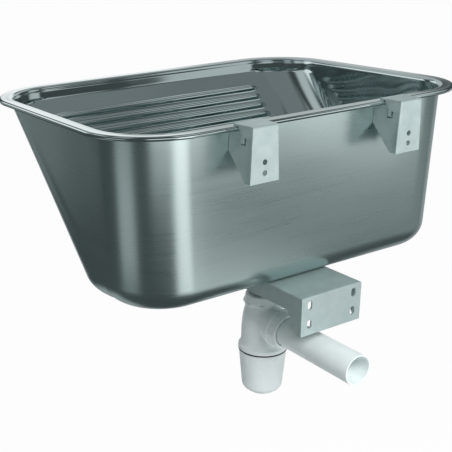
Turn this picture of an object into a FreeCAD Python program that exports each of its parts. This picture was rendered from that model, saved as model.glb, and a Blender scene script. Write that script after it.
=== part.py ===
import FreeCAD, Part
import math
import os

# Wall-hung mop service sink: a drawn stainless bowl with a washboard front,
# held by two rim brackets and one bracket under the floor, with a strainer
# waste and a white plastic bottle trap whose pipe runs back to the wall.
#
# Frame: the wall is the plane Y = 0 and the sink stands out from it along -Y.
# X runs along the wall, Z is up. The origin lies midway between the four
# upper wall holes. Everything is in millimetres.

V = FreeCAD.Vector
UP = V(0, 0, 1)
TO_WALL = V(0, 1, 0)

# ---------------------------------------------------------------- sizes
# Upper (rim) brackets, folded sheet
UPPER_SHEET = 2.0
UPPER_SPACING = 220.0          # between the two brackets, centre to centre
UPPER_HEIGHT = 63.0            # wall plate, fold to foot
UPPER_FOLD_WIDTH = 34.0        # at the fold between wall plate and top plate
UPPER_FOOT_WIDTH = 40.0        # wall plate at its foot
UPPER_TIP_WIDTH = 38.0         # top plate at its free end
UPPER_OVERLAP = 8.0            # top plate over the rim flange
UPPER_NOSE = 24.0              # height of the gusset's edge against the bowl
UPPER_TOE = 11.0               # gusset's depth where it ends at the foot
UPPER_LIP_DROP = 13.6          # side lips folded down from the top plate
UPPER_LIP_INSET = 0.25         # lip face inside the top plate's edge
UPPER_LIP_FRONT = 14.0         # wall to where the lip's slanted edge ends
UPPER_LIP_SLANT = 0.9          # rise of the lip's slanted edge per length
UPPER_TAB_WIDTH = 4.5
UPPER_TAB_DROP = 6.5           # tab below the lip, bent into the gusset
UPPER_SLOT_MARGIN = 1.8        # gusset window around that tab
UPPER_HOLE_DIA = 6.5
UPPER_HOLE_DROP = 40.0         # fold to the upper hole
UPPER_HOLE_PITCH = 12.0
UPPER_FOLD_R = 2.0

# Bowl, pressed from one sheet
SHEET = 1.2
RIM_WIDTH = 540.0
RIM_DEPTH = 400.0
RIM_RADIUS = 92.0              # outer corner
RIM_LIP = 5.0                  # turned-down edge
RIM_EDGE_R = 2.6
FLANGE = 17.0                  # rim's outer edge to the bowl's outer wall
RIM_TO_WALL = 24.0             # clear distance between rim and wall
MOUTH_R = 5.0                  # bend from flange into the bowl
BOWL_DEPTH = 216.0             # rim top to the underside of the floor
SIDE_DRAFT = 5.0
BACK_DRAFT = 2.0
BAND_HEIGHT = 18.0             # upright band above the washboard
BAND_LEAN = 4.0
WASH_RUN = 196.0               # how far the washboard comes in, band to floor
WASH_CORNER_R = 58.0           # bend from the washboard side into the side walls
FLOOR_R = 30.0                 # bend from walls into the floor

# Washboard ribs, pressed towards the inside
RIB_COUNT = 11
RIB_PITCH = 16.6
RIB_FIRST = 31.0               # crease to the first rib, along the slope
RIB_HALF_LENGTH = 172.0
RIB_WIDTH = 9.4
RIB_HEIGHT = 3.6

# Drain, pressed recess with its hole, and the waste fitting in it
DRAIN_TO_WALL = 131.0          # trap axis to the wall
RECESS_R = 41.0
RECESS_DEPTH = 5.0
RECESS_FLARE = 3.0
DRAIN_HOLE_R = 30.0
STRAINER_R = 39.0
STRAINER_SHEET = 1.2
STRAINER_DISH_R = 27.0
STRAINER_DISH_DEPTH = 4.0
STRAINER_HOLE_R = 2.6
STRAINER_INNER_COUNT = 6
STRAINER_OUTER_COUNT = 12
GASKET_R = 38.0
GASKET_BORE_R = 30.5
UPPER_GASKET_THICK = 1.5
LOWER_GASKET_THICK = 2.5
WASTE_FLANGE_R = 40.0
WASTE_FLANGE_THICK = 4.0
WASTE_BOWL_R = 31.0            # under the flange
WASTE_BOWL_DROP = 22.0         # flange to where the tail starts
WASTE_WALL = 2.4
TAIL_R = 20.0
TAIL_LENGTH = 33.0
WEB_THICK = 3.0
WEB_DROP = 1.0                 # webs start this far under the flange
BOSS_R = 8.0
BOSS_HEIGHT = 12.0
SCREW_R = 3.0
SCREW_LENGTH = 20.0
SCREW_HEAD_R = 7.5
SCREW_HEAD_HEIGHT = 3.2
SCREW_HEAD_CHAMFER = 1.2
SCREW_SLOT = 1.4
INSERT_FLATS = 10.0
INSERT_HEIGHT = 6.0

# Lower bracket, folded sheet
LOWER_SHEET = 2.5
LOWER_WIDTH = 97.0
LOWER_HEIGHT = 51.0
LOWER_REACH = 112.0
LOWER_ARM = 23.5               # depth of the side flanges under the top plate
LOWER_HAUNCH = 26.0            # wall to where the flange meets that depth
LOWER_TOE = 8.0
LOWER_SLOT_SPACING = 71.0
LOWER_SLOT_PITCH = 25.0
LOWER_SLOT_DROP = 11.5         # top plate to the centre of the upper slots
LOWER_SLOT_WIDTH = 7.0
LOWER_SLOT_LENGTH = 11.5
LOWER_FOLD_R = 2.0
WASTE_CLEARANCE = 4.0          # cut-out of the top plate around the waste

# Bottle trap, moulded plastic
RUN_GAP = 0.3                  # clearance of turning, sliding and screwed faces
INLET_ENGAGE = 14.0            # tail inside the trap's inlet
INLET_COLLAR_R = 23.2
INLET_COLLAR_HEIGHT = 10.0
INLET_NUT_LIP = 1.8
INLET_NUT_BAND = 3.0
INLET_NUT_CHAMFER = 1.4
INLET_NUT_FOOT_R = 26.5
INLET_NUT_TOP_R = 23.4
INLET_WASHER_THICK = 3.6
NUT_LUGS = 8
LUG_WIDTH = 7.0
LUG_PROUD = 1.2
LUG_DROP = 2.2
BODY_SHOULDER_R = 23.8
BODY_R = 30.0
BODY_WALL = 2.6
BODY_HEIGHT = 67.0             # shoulder to the seal face
BODY_BULGE = 45.0              # shoulder to the widest place
BODY_CROWN = 1.4               # how far the shoulder's curve stays inside the widest radius
BODY_CROWN_RISE = 2.0
BODY_COVE = 3.0
BODY_FLANGE_R = 34.0
BODY_FLANGE_THICK = 4.0
SKIRT_R = 29.6
SKIRT_HEIGHT = 14.0
SEAT_THICK = 3.0
DIP_R = 17.6
DIP_WALL = 1.6
DIP_FLANGE_R = 19.6
DIP_FLANGE_THICK = 2.0
DIP_LENGTH = 96.0
RING_THICK = 1.6               # seal under the dip tube's flange
SEAL_THICK = 2.0
CUP_R = 33.0
CUP_FOOT_R = 28.0
CUP_FLAT_R = 17.6
CUP_HEIGHT = 66.0
CUP_CHAMFER = 8.0
CUP_WALL = 2.6
CUP_EASE = 1.0                 # inner chamfer kept this much thicker
THREAD_RELIEF = 1.4
OUTLET_DROP = 26.0             # shoulder to the outlet axis
SPIGOT_R = 23.6
SPIGOT_END = 46.0              # trap axis to the end of the outlet spigot
OUTLET_STOP = 27.6             # trap axis to the step that stops the pipe
OUTLET_BORE_R = 17.5
OUTLET_NUT_R = 27.2
OUTLET_NUT_GRIP_R = 25.6
OUTLET_NUT_TIP_R = 24.6
OUTLET_NUT_LENGTH = 18.0
OUTLET_NUT_RING = 4.0
OUTLET_NUT_CHAMFER = 1.2
OUTLET_NUT_TIP = 1.6
OUTLET_NUT_TIP_CHAMFER = 1.0
OUTLET_NUT_LIP = 3.0
OUTLET_WASHER_THICK = 3.0
PIPE_R = 20.0
PIPE_WALL = 1.9
PIPE_SIZING = 0.6              # the end in the trap is turned down by this
PIPE_SIZED_SHOW = 6.5          # how far that end shows past the nut, more than the pipe can slide in
PIPE_PAST_WALL = 51.0
PIPE_CLEAR_OF_STOP = 6.0       # free travel before the pipe meets its step

# ---------------------------------------------------------------- places
BRACKET_TOP = UPPER_HOLE_DROP + UPPER_HOLE_PITCH / 2
RIM_TOP = BRACKET_TOP - UPPER_SHEET
RIM_LIP_FOOT = RIM_TOP - RIM_LIP
CREASE = RIM_TOP - BAND_HEIGHT
FLOOR_UNDER = RIM_TOP - BOWL_DEPTH
FLOOR = FLOOR_UNDER + SHEET
RIM_BACK = -RIM_TO_WALL
RIM_FRONT = RIM_BACK - RIM_DEPTH
BOWL_BACK = RIM_BACK - FLANGE
UPPER_REACH = RIM_TO_WALL + UPPER_OVERLAP
BOWL_FRONT = RIM_FRONT + FLANGE
WASH_DROP = CREASE - FLOOR_UNDER
WASH_SLOPE = math.hypot(WASH_RUN, WASH_DROP)
WASH_INSET = SHEET * WASH_SLOPE / WASH_DROP      # level distance through the sloping sheet
BEND_CHAMFER = 2 - math.sqrt(2)                  # leg of a chamfer that just touches a bend of radius 1

AXIS = V(0, -DRAIN_TO_WALL, 0)
RECESS_FLOOR = FLOOR - RECESS_DEPTH
RECESS_UNDER = FLOOR_UNDER - RECESS_DEPTH
STRAINER_SEAT = RECESS_FLOOR + UPPER_GASKET_THICK
DISH_TOP = STRAINER_SEAT + STRAINER_SHEET - STRAINER_DISH_DEPTH
BOSS_TOP = DISH_TOP - STRAINER_SHEET
WASTE_TOP = RECESS_UNDER - LOWER_GASKET_THICK
TAIL_TOP = WASTE_TOP - WASTE_FLANGE_THICK - WASTE_BOWL_DROP
TAIL_FOOT = TAIL_TOP - TAIL_LENGTH
TAIL_BORE_R = TAIL_R - WASTE_WALL

INLET_TOP = TAIL_FOOT + INLET_ENGAGE
INLET_BORE_R = TAIL_R + RUN_GAP
SHOULDER = INLET_TOP - INLET_COLLAR_HEIGHT
SEAT_TOP = TAIL_FOOT - RUN_GAP - DIP_FLANGE_THICK - RING_THICK
SEAL_FACE = SHOULDER - BODY_HEIGHT
CUP_TOP = SEAL_FACE - SEAL_THICK
CUP_BOTTOM = CUP_TOP - CUP_HEIGHT
OUTLET_Z = SHOULDER - OUTLET_DROP
SPIGOT_FACE = AXIS.y + SPIGOT_END
PIPE_START = AXIS.y + OUTLET_STOP + PIPE_CLEAR_OF_STOP
PIPE_SIZED_R = PIPE_R - PIPE_SIZING
PIPE_STEP = SPIGOT_FACE + OUTLET_WASHER_THICK + OUTLET_NUT_LIP + PIPE_SIZED_SHOW


# ---------------------------------------------------------------- helpers
def rounded_frame(half_width, back, front, radius, z):
    """Closed wire: a rectangle in a level plane with four round corners."""
    mid = radius * math.sqrt(0.5)
    corners = (
        (half_width - radius, back - radius, 1, 1),
        (radius - half_width, back - radius, -1, 1),
        (radius - half_width, front + radius, -1, -1),
        (half_width - radius, front + radius, 1, -1),
    )
    arcs = []
    for cx, cy, sx, sy in corners:
        ends = [V(cx + sx * radius, cy, z), V(cx, cy + sy * radius, z)]
        if sx * sy < 0:
            ends.reverse()
        arcs.append(Part.Arc(ends[0], V(cx + sx * mid, cy + sy * mid, z), ends[1]))
    edges = []
    for arc, following in zip(arcs, arcs[1:] + arcs[:1]):
        edges.append(arc.toShape())
        edges.append(Part.LineSegment(arc.EndPoint, following.StartPoint).toShape())
    return Part.Wire(edges)


def prism(wire, height):
    return Part.Face(wire).extrude(V(0, 0, height))


def plate(points, thickness):
    """Flat plate from its corner points, thickened along the given vector."""
    return Part.Face(Part.makePolygon(points + points[:1])).extrude(thickness)


def turned(profile, base=AXIS, direction=UP):
    """Solid of revolution from (radius, height) points about a line."""
    points = [V(radius, 0, height) for radius, height in profile]
    solid = Part.Face(Part.makePolygon(points + points[:1])).revolve(V(0, 0, 0), UP, 360)
    solid.Placement = FreeCAD.Placement(base, FreeCAD.Rotation(UP, direction))
    return solid


def ring(outer, inner, low, high, base=AXIS, direction=UP):
    return turned([(inner, low), (outer, low), (outer, high), (inner, high)], base, direction)


def cylinder(radius, low, high, base=AXIS, direction=UP):
    return Part.makeCylinder(radius, high - low, base + direction * low, direction)


def edges_at(shape, z):
    """Edges that lie whole in the level plane at height z."""
    return [edge for edge in shape.Edges
            if abs(edge.BoundBox.ZMin - z) < 1e-4 and abs(edge.BoundBox.ZMax - z) < 1e-4]


def loop_inside(shape, z):
    """Innermost closed loop of the level face at height z."""
    faces = [face for face in shape.Faces
             if abs(face.BoundBox.ZMin - z) < 1e-4 and abs(face.BoundBox.ZMax - z) < 1e-4]
    wires = [wire for face in faces for wire in face.Wires]
    return min(wires, key=lambda wire: wire.BoundBox.XLength).Edges


# ---------------------------------------------------------------- bowl
def tapered_box(top, bottom, upper, lower):
    """Block with flat sides between two level rectangles (half width, back, front)."""
    corners = []
    for z, (half, back, front) in ((top, upper), (bottom, lower)):
        corners.append([V(half, back, z), V(-half, back, z), V(-half, front, z), V(half, front, z)])
    high, low = corners
    loops = [high, low]
    for k in range(4):
        loops.append([high[k], high[k - 1], low[k - 1], low[k]])
    faces = [Part.Face(Part.makePolygon(loop + loop[:1])) for loop in loops]
    return Part.makeSolid(Part.makeShell(faces))


def corner_edges(block, front):
    """The upright or sloping edges at the front or the back of a tapered box."""
    edges = [edge for edge in block.Edges if edge.BoundBox.ZLength > block.BoundBox.ZLength / 2]
    edges.sort(key=lambda edge: edge.BoundBox.Center.y)
    return edges[:2] if front else edges[2:]


def bowl_block(top, bottom, side_inset, front_inset, floor_radius):
    """Upright box with round corners, cut on a slope by the washboard side."""
    def level(z):
        share = (RIM_TOP - z) / BOWL_DEPTH
        return (RIM_WIDTH / 2 - FLANGE - SIDE_DRAFT * share - side_inset,
                BOWL_BACK - BACK_DRAFT * share - side_inset)

    def band_front(z):
        return BOWL_FRONT + side_inset + BAND_LEAN * (RIM_TOP - z) / BAND_HEIGHT

    def wash_front(z):
        return BOWL_FRONT + BAND_LEAN + front_inset + WASH_RUN * (CREASE - z) / WASH_DROP

    upright = tapered_box(top, bottom, (*level(top), band_front(top)), (*level(bottom), band_front(bottom)))
    radius = RIM_RADIUS - FLANGE - side_inset
    upright = upright.makeFillet(radius, corner_edges(upright, True) + corner_edges(upright, False))
    sloping = tapered_box(top, bottom, (level(top)[0], 0, wash_front(top)),
                          (level(bottom)[0], 0, wash_front(bottom)))
    sloping = sloping.makeFillet(WASH_CORNER_R - side_inset, corner_edges(sloping, True))
    block = upright.common(sloping).removeSplitter()
    return block.makeFillet(floor_radius, edges_at(block, bottom))


def rim_frame(inset, z):
    return rounded_frame(RIM_WIDTH / 2 - inset, RIM_BACK - inset, RIM_FRONT + inset,
                         RIM_RADIUS - inset, z)


def washboard_rib(radius):
    """Rod with round ends, lying along X on its own origin."""
    rod = Part.makeCylinder(radius, 2 * RIB_HALF_LENGTH, V(-RIB_HALF_LENGTH, 0, 0), V(1, 0, 0))
    for end in (-RIB_HALF_LENGTH, RIB_HALF_LENGTH):
        rod = rod.fuse(Part.makeSphere(radius, V(end, 0, 0)))
    return rod.removeSplitter()


def press_ribs(bowl):
    """Ribs stand proud inside the bowl and leave grooves in its outer skin."""
    radius = (RIB_WIDTH ** 2 / 4 + RIB_HEIGHT ** 2) / (2 * RIB_HEIGHT)
    sink = radius - RIB_HEIGHT                     # rod axis below the inner skin
    tilt = math.degrees(math.atan2(WASH_DROP, WASH_RUN))
    crest, groove = washboard_rib(radius), washboard_rib(radius - SHEET)
    keep = Part.makeBox(2 * RIM_WIDTH, 4 * radius, 2 * radius, V(-RIM_WIDTH, -2 * radius, sink - SHEET))
    rib = crest.common(keep).cut(groove)
    ribs, grooves = [], []
    for number in range(RIB_COUNT):
        along = RIB_FIRST + number * RIB_PITCH
        y = BOWL_FRONT + BAND_LEAN + WASH_INSET + along * WASH_RUN / WASH_SLOPE
        z = CREASE - along * WASH_DROP / WASH_SLOPE
        inward = V(0, WASH_DROP, WASH_RUN) / WASH_SLOPE
        place = FreeCAD.Placement(V(0, y, z) - inward * sink, FreeCAD.Rotation(V(1, 0, 0), -tilt))
        for source, copies in ((rib, ribs), (groove, grooves)):
            copy = source.copy()
            copy.Placement = place
            copies.append(copy)
    return bowl.cut(grooves).fuse(ribs)


def make_basin():
    cover = prism(rim_frame(0, RIM_LIP_FOOT), RIM_LIP)
    cover = cover.makeFillet(RIM_EDGE_R, edges_at(cover, RIM_TOP))
    under = prism(rim_frame(SHEET, RIM_LIP_FOOT), RIM_LIP - SHEET)
    under = under.makeChamfer(BEND_CHAMFER * (RIM_EDGE_R - SHEET), edges_at(under, RIM_TOP - SHEET))
    skin = cover.cut(under).fuse(
        bowl_block(RIM_TOP - SHEET / 2, FLOOR_UNDER, 0, 0, FLOOR_R)).removeSplitter()
    skin = skin.makeChamfer(BEND_CHAMFER * (MOUTH_R - SHEET), loop_inside(skin, RIM_TOP - SHEET))
    recess = Part.makeCone(RECESS_R + SHEET, RECESS_R + SHEET + RECESS_FLARE, RECESS_DEPTH + SHEET,
                           AXIS + UP * RECESS_UNDER)
    skin = skin.fuse(recess)
    skin = skin.cut(bowl_block(RIM_TOP + SHEET, FLOOR, SHEET, WASH_INSET, FLOOR_R - SHEET))
    skin = skin.makeFillet(MOUTH_R, loop_inside(skin, RIM_TOP))
    skin = skin.cut(Part.makeCone(RECESS_R, RECESS_R + RECESS_FLARE, RECESS_DEPTH,
                                  AXIS + UP * RECESS_FLOOR))
    skin = skin.cut(cylinder(DRAIN_HOLE_R, RECESS_UNDER - SHEET, FLOOR))
    return press_ribs(skin)


# ---------------------------------------------------------------- brackets
def tapered(fold_half, far_half, run, thickness):
    """Four corners of a plate that widens away from the fold, along run."""
    return plate([V(-fold_half, 0, 0), V(fold_half, 0, 0), V(far_half, 0, 0) + run,
                  V(-far_half, 0, 0) + run], thickness)


def side_plate(outline, inset, thickness=UPPER_SHEET):
    """Plate along the bracket's +X side from (depth, drop) points, inset inside the plates' edges."""
    flare = V((UPPER_TIP_WIDTH - UPPER_FOLD_WIDTH) / 2 / UPPER_REACH, -1, 0)
    splay = V((UPPER_FOOT_WIDTH - UPPER_FOLD_WIDTH) / 2 / UPPER_HEIGHT, 0, -1)
    inward = splay.cross(flare).normalize()
    corner = V(UPPER_FOLD_WIDTH / 2, 0, 0) + inward * inset
    return plate([corner + flare * depth + splay * drop for depth, drop in outline], inward * thickness)


def upper_gusset():
    """Side folded back from the wall plate, notched for the rim, with a window for the lip's tab."""
    root = UPPER_SHEET / 2                         # starts inside the plates that carry it
    notch = RIM_TO_WALL - RUN_GAP
    nose = notch + FLANGE
    rim = BRACKET_TOP - RIM_LIP_FOOT
    inset = UPPER_LIP_INSET + UPPER_SHEET - RUN_GAP
    gusset = side_plate([(root, root), (notch, root), (notch, rim), (nose, rim), (nose, rim + UPPER_NOSE),
                         (UPPER_TOE, UPPER_HEIGHT), (root, UPPER_HEIGHT)], inset)
    near, far = UPPER_LIP_FRONT - UPPER_SLOT_MARGIN, UPPER_LIP_FRONT + UPPER_TAB_WIDTH + UPPER_SLOT_MARGIN
    top, low = UPPER_LIP_DROP - UPPER_SLOT_MARGIN, UPPER_LIP_DROP + UPPER_TAB_DROP + UPPER_SLOT_MARGIN
    window = side_plate([(near, top), (far, top), (far, low), (near, low)], inset - UPPER_SHEET, 3 * UPPER_SHEET)
    return gusset.cut(window)


def upper_lip():
    """Triangle folded down from the top plate, with its tab."""
    root = UPPER_SHEET / 2
    notch = RIM_TO_WALL - RUN_GAP
    tab = UPPER_LIP_FRONT + UPPER_TAB_WIDTH
    shoulder = UPPER_LIP_DROP - (notch - tab) * UPPER_LIP_SLANT
    tab_foot = UPPER_LIP_DROP + UPPER_TAB_DROP
    return side_plate([(root, root), (notch, root), (notch, BRACKET_TOP - RIM_LIP_FOOT - RIM_LIP / 2),
                       (tab, shoulder), (tab, tab_foot), (UPPER_LIP_FRONT, tab_foot),
                       (UPPER_LIP_FRONT, UPPER_LIP_DROP), (root, UPPER_LIP_DROP)], UPPER_LIP_INSET)


def make_upper_bracket(x):
    wall_plate = tapered(UPPER_FOLD_WIDTH / 2, UPPER_FOOT_WIDTH / 2, V(0, 0, -UPPER_HEIGHT),
                         V(0, -UPPER_SHEET, 0))
    top_plate = tapered(UPPER_FOLD_WIDTH / 2, UPPER_TIP_WIDTH / 2, V(0, -UPPER_REACH, 0),
                        V(0, 0, -UPPER_SHEET))
    bracket = wall_plate.fuse(top_plate).removeSplitter()
    fold = [edge for edge in edges_at(bracket, 0) if edge.BoundBox.YMin > -1e-6]
    bracket = bracket.makeFillet(UPPER_FOLD_R, fold)
    for piece in (upper_lip(), upper_gusset()):
        bracket = bracket.fuse([piece, piece.mirror(V(0, 0, 0), V(1, 0, 0))])
    for drop in (UPPER_HOLE_DROP, UPPER_HOLE_DROP + UPPER_HOLE_PITCH):
        bracket = bracket.cut(cylinder(UPPER_HOLE_DIA / 2, -2 * UPPER_SHEET, UPPER_SHEET,
                                       V(0, 0, -drop), TO_WALL))
    bracket = bracket.removeSplitter()
    bracket.translate(V(x, 0, BRACKET_TOP))
    return bracket


def upright_slot(x, z):
    """Tool for one slot with round ends through the lower wall plate."""
    half = (LOWER_SLOT_LENGTH - LOWER_SLOT_WIDTH) / 2
    tool = Part.makeBox(LOWER_SLOT_WIDTH, 3 * LOWER_SHEET, 2 * half,
                        V(x - LOWER_SLOT_WIDTH / 2, -2 * LOWER_SHEET, z - half))
    for end in (-half, half):
        tool = tool.fuse(cylinder(LOWER_SLOT_WIDTH / 2, -2 * LOWER_SHEET, LOWER_SHEET,
                                  V(x, 0, z + end), TO_WALL))
    return tool.removeSplitter()


def make_lower_bracket():
    half = LOWER_WIDTH / 2
    top_plate = Part.makeBox(LOWER_WIDTH, LOWER_REACH, LOWER_SHEET, V(-half, -LOWER_REACH, -LOWER_SHEET))
    wall_plate = Part.makeBox(LOWER_WIDTH, LOWER_SHEET, LOWER_HEIGHT, V(-half, -LOWER_SHEET, -LOWER_HEIGHT))
    bracket = top_plate.fuse(wall_plate)
    outline = [V(half, 0, 0), V(half, -LOWER_REACH, 0), V(half, -LOWER_REACH, -LOWER_ARM),
               V(half, -LOWER_HAUNCH, -LOWER_ARM), V(half, -LOWER_TOE, -LOWER_HEIGHT),
               V(half, 0, -LOWER_HEIGHT)]
    flange = plate(outline, V(-LOWER_SHEET, 0, 0))
    bracket = bracket.fuse([flange, flange.mirror(V(0, 0, 0), V(1, 0, 0))]).removeSplitter()
    folds = [edge for edge in bracket.Edges
             if edge.BoundBox.YMin > -1e-6 and edge.BoundBox.ZMax > -1e-6
             and edge.BoundBox.ZLength < 1e-6]
    folds += [edge for edge in bracket.Edges
              if edge.BoundBox.YLength > LOWER_REACH - 1 and edge.BoundBox.ZMin > -1e-6]
    bracket = bracket.makeFillet(LOWER_FOLD_R, folds)
    for x in (-LOWER_SLOT_SPACING / 2, LOWER_SLOT_SPACING / 2):
        for z in (-LOWER_SLOT_DROP, -LOWER_SLOT_DROP - LOWER_SLOT_PITCH):
            bracket = bracket.cut(upright_slot(x, z))
    bracket = bracket.cut(cylinder(RECESS_R + RECESS_FLARE + WASTE_CLEARANCE, -2 * LOWER_SHEET, LOWER_SHEET))
    bracket.translate(V(0, 0, FLOOR_UNDER))
    return bracket


# ---------------------------------------------------------------- strainer and waste
def make_strainer_plate():
    top = STRAINER_SEAT + STRAINER_SHEET
    dish_top = top - STRAINER_DISH_DEPTH
    dish = turned([
        (0, dish_top), (STRAINER_DISH_R - STRAINER_DISH_DEPTH, dish_top), (STRAINER_DISH_R, top),
        (STRAINER_R, top), (STRAINER_R, STRAINER_SEAT),
        (STRAINER_DISH_R + STRAINER_SHEET / 2, STRAINER_SEAT),
        (STRAINER_DISH_R - STRAINER_DISH_DEPTH + STRAINER_SHEET / 2, dish_top - STRAINER_SHEET),
        (0, dish_top - STRAINER_SHEET),
    ])
    low, high = dish_top - 2 * STRAINER_SHEET, dish_top + STRAINER_SHEET
    tools = [cylinder(SCREW_R + RUN_GAP, low, high)]
    pitch = (STRAINER_DISH_R - STRAINER_DISH_DEPTH - SCREW_HEAD_R) / 3
    for count, radius in ((STRAINER_INNER_COUNT, SCREW_HEAD_R + pitch),
                          (STRAINER_OUTER_COUNT, SCREW_HEAD_R + 2.4 * pitch)):
        for step in range(count):
            angle = 2 * math.pi * step / count
            centre = AXIS + V(radius * math.cos(angle), radius * math.sin(angle), 0)
            tools.append(cylinder(STRAINER_HOLE_R, low, high, centre))
    return dish.cut(tools)


def make_strainer_gasket():
    return ring(GASKET_R, GASKET_BORE_R, RECESS_FLOOR, STRAINER_SEAT)


def make_waste_gasket():
    return ring(GASKET_R, GASKET_BORE_R, WASTE_TOP, RECESS_UNDER)


def make_strainer_screw():
    head = turned([(0, DISH_TOP), (SCREW_HEAD_R, DISH_TOP),
                   (SCREW_HEAD_R - SCREW_HEAD_CHAMFER, DISH_TOP + SCREW_HEAD_HEIGHT * 0.7),
                   (SCREW_HEAD_R / 2, DISH_TOP + SCREW_HEAD_HEIGHT), (0, DISH_TOP + SCREW_HEAD_HEIGHT)])
    slot = Part.makeBox(3 * SCREW_HEAD_R, SCREW_SLOT, SCREW_HEAD_HEIGHT,
                        V(-1.5 * SCREW_HEAD_R, AXIS.y - SCREW_SLOT / 2, DISH_TOP + SCREW_HEAD_HEIGHT / 2))
    return head.fuse(cylinder(SCREW_R, DISH_TOP - SCREW_LENGTH, DISH_TOP)).cut(slot).removeSplitter()


def hexagon(flats, low, high):
    """Upright hexagonal bar on the trap axis."""
    radius = flats / math.sqrt(3)
    points = [AXIS + V(radius * math.cos(k * math.pi / 3), radius * math.sin(k * math.pi / 3), low)
              for k in range(6)]
    return plate(points, V(0, 0, high - low))


def make_screw_insert():
    nut = hexagon(INSERT_FLATS, BOSS_TOP - BOSS_HEIGHT, BOSS_TOP - BOSS_HEIGHT + INSERT_HEIGHT)
    return nut.cut(cylinder(SCREW_R, BOSS_TOP - 2 * BOSS_HEIGHT, BOSS_TOP))


def make_waste_body():
    flange_foot = WASTE_TOP - WASTE_FLANGE_THICK
    body = turned([
        (DRAIN_HOLE_R, WASTE_TOP), (WASTE_FLANGE_R, WASTE_TOP), (WASTE_FLANGE_R, flange_foot),
        (WASTE_BOWL_R + WASTE_WALL, flange_foot), (WASTE_BOWL_R, flange_foot - WASTE_BOWL_DROP / 3),
        (TAIL_R, TAIL_TOP), (TAIL_R, TAIL_FOOT), (TAIL_BORE_R, TAIL_FOOT), (TAIL_BORE_R, TAIL_TOP),
        (WASTE_BOWL_R - WASTE_WALL, flange_foot - WASTE_BOWL_DROP / 3),
        (DRAIN_HOLE_R, flange_foot),
    ])
    boss = cylinder(BOSS_R, BOSS_TOP - BOSS_HEIGHT, BOSS_TOP)
    web_low = BOSS_TOP - BOSS_HEIGHT
    web_high = flange_foot - WEB_DROP
    webs = []
    for turn in (45, 135):
        web = Part.makeBox(2 * (WASTE_BOWL_R - WASTE_WALL / 2), WEB_THICK, web_high - web_low,
                           V(-(WASTE_BOWL_R - WASTE_WALL / 2), -WEB_THICK / 2, web_low))
        web.rotate(V(0, 0, 0), UP, turn)
        web.translate(AXIS)
        webs.append(web)
    body = body.fuse([boss] + webs)
    body = body.cut(hexagon(INSERT_FLATS, web_low, web_low + INSERT_HEIGHT))
    return body.cut(cylinder(SCREW_R + RUN_GAP, web_low - 1, BOSS_TOP + 1)).removeSplitter()


# ---------------------------------------------------------------- bottle trap
def make_trap_body():
    widest = SHOULDER - BODY_BULGE
    crown = (SHOULDER + widest) / 2 + BODY_CROWN_RISE
    waist = SEAL_FACE + BODY_FLANGE_THICK + BODY_COVE
    skirt_foot = SEAL_FACE - SKIRT_HEIGHT
    body = turned([
        (0, INLET_TOP), (INLET_COLLAR_R, INLET_TOP), (INLET_COLLAR_R, SHOULDER), (BODY_SHOULDER_R, SHOULDER),
        (BODY_R - BODY_CROWN, crown), (BODY_R, widest), (BODY_R, waist),
        (BODY_FLANGE_R, SEAL_FACE + BODY_FLANGE_THICK), (BODY_FLANGE_R, SEAL_FACE), (SKIRT_R, SEAL_FACE),
        (SKIRT_R, skirt_foot), (0, skirt_foot),
    ])
    spigot_base = AXIS + UP * OUTLET_Z
    body = body.fuse(cylinder(SPIGOT_R, 0, SPIGOT_END, spigot_base, TO_WALL))
    chamber_top = SEAT_TOP - SEAT_THICK
    skirt_bore = SKIRT_R - BODY_WALL
    chamber = turned([
        (0, chamber_top), (BODY_SHOULDER_R - BODY_WALL, chamber_top),
        (BODY_R - BODY_WALL - BODY_CROWN, crown - BODY_WALL), (BODY_R - BODY_WALL, widest),
        (BODY_R - BODY_WALL, waist), (skirt_bore, SEAL_FACE), (skirt_bore, skirt_foot - 1),
        (0, skirt_foot - 1),
    ])
    inlet = cylinder(INLET_BORE_R, SEAT_TOP, INLET_TOP + 1)
    seat_hole = cylinder(DIP_R + RUN_GAP, chamber_top - 1, SEAT_TOP + 1)
    socket = cylinder(PIPE_SIZED_R + RUN_GAP, OUTLET_STOP, SPIGOT_END + 1, spigot_base, TO_WALL)
    passage = cylinder(OUTLET_BORE_R, DIP_R + 2, OUTLET_STOP + 1, spigot_base, TO_WALL)
    passage = passage.cut(cylinder(INLET_BORE_R + BODY_WALL, chamber_top, INLET_TOP))
    return body.cut([chamber, inlet, seat_hole, socket, passage]).removeSplitter()


def make_dip_tube():
    top = TAIL_FOOT - RUN_GAP
    return turned([
        (DIP_R - DIP_WALL, top), (DIP_FLANGE_R, top), (DIP_FLANGE_R, top - DIP_FLANGE_THICK),
        (DIP_R, top - DIP_FLANGE_THICK), (DIP_R, top - DIP_LENGTH), (DIP_R - DIP_WALL, top - DIP_LENGTH),
    ])


def make_dip_tube_seal():
    return ring(DIP_FLANGE_R, DIP_R + RUN_GAP, SEAT_TOP, SEAT_TOP + RING_THICK)


def make_inlet_washer():
    return ring(INLET_COLLAR_R - RUN_GAP, TAIL_R + RUN_GAP, INLET_TOP, INLET_TOP + INLET_WASHER_THICK)


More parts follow.
